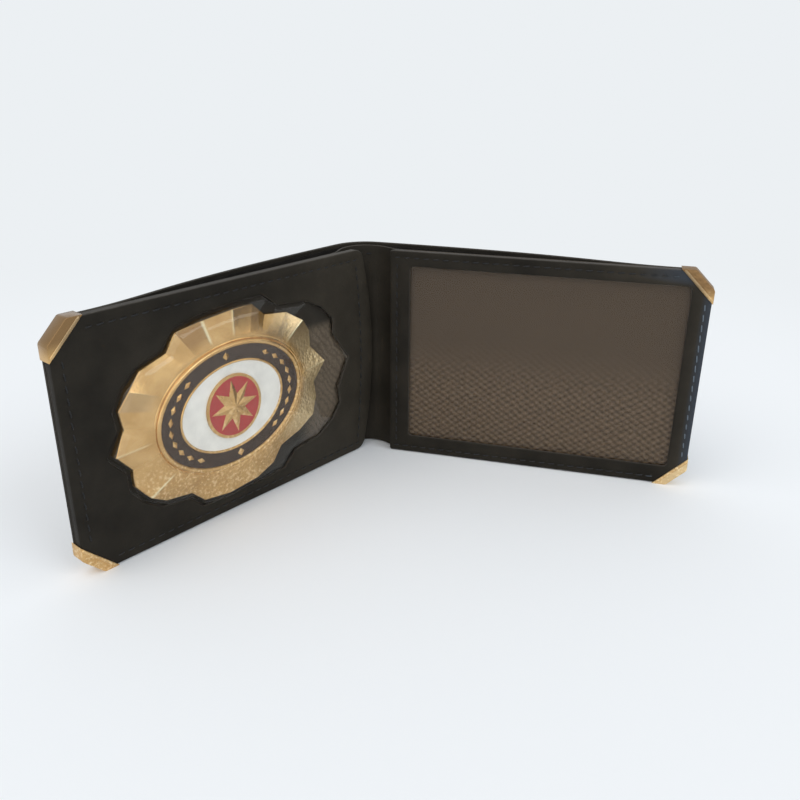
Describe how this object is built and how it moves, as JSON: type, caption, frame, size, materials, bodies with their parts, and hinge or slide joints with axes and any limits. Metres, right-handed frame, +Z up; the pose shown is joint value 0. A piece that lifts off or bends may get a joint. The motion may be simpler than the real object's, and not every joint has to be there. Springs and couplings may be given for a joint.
{
  "type": "id badge wallet",
  "caption": "Bifold leather wallet standing open: a gilt sunburst badge under a clear cover on one half, a framed card window on the other, a bill compartment behind both.",
  "frame": {"origin": "middle of the standing wallet's bounding box in X and Y, at the feet of the lower corner caps", "axes": "+Z up along the fold, +X along the ID half away from the fold, +Y towards the back of the ID half"},
  "size_m": [0.1694, 0.1154, 0.0757],
  "materials": {
    "black_leather": "fine grain, satin",
    "lining_fabric": "matt weave",
    "clear_film": "clear, glossy",
    "grey_board": "matt",
    "gilt_brass": "polished gilt",
    "dark_enamel": "glossy enamel",
    "white_enamel": "glossy enamel",
    "red_enamel": "glossy enamel"
  },
  "bodies": {
    "id_half": {"cover_right": "black_leather", "cover_lining_right": "lining_fabric", "divider_right": "black_leather", "id_frame": "black_leather", "id_window": "clear_film", "id_pocket_lining": "lining_fabric", "corner_top_right": "gilt_brass", "corner_bottom_right": "gilt_brass", "spine_cover": "black_leather", "spine_lining": "lining_fabric", "spine_divider": "black_leather"},
    "badge_half": {"cover_left": "black_leather", "cover_lining_left": "lining_fabric", "divider_left": "black_leather", "badge_panel": "black_leather", "badge_board": "grey_board", "badge_backing": "black_leather", "badge_cover": "clear_film", "badge_body": "gilt_brass", "enamel_ring": "dark_enamel", "enamel_field": "white_enamel", "emblem_roundel": "gilt_brass", "emblem_enamel": "red_enamel", "emblem_star": "gilt_brass", "ring_ornaments": "gilt_brass", "corner_top_left": "gilt_brass", "corner_bottom_left": "gilt_brass"}
  },
  "joints": [
    {"name": "fold", "type": "hinge", "parent": "id_half", "child": "badge_half", "pos_m": [-0.02864, 0.04327, 0.0379], "axis": [0, 0, 1], "range_deg": [-64, 116], "deforming": ["spine_cover", "spine_lining", "spine_divider"]}
  ]
}
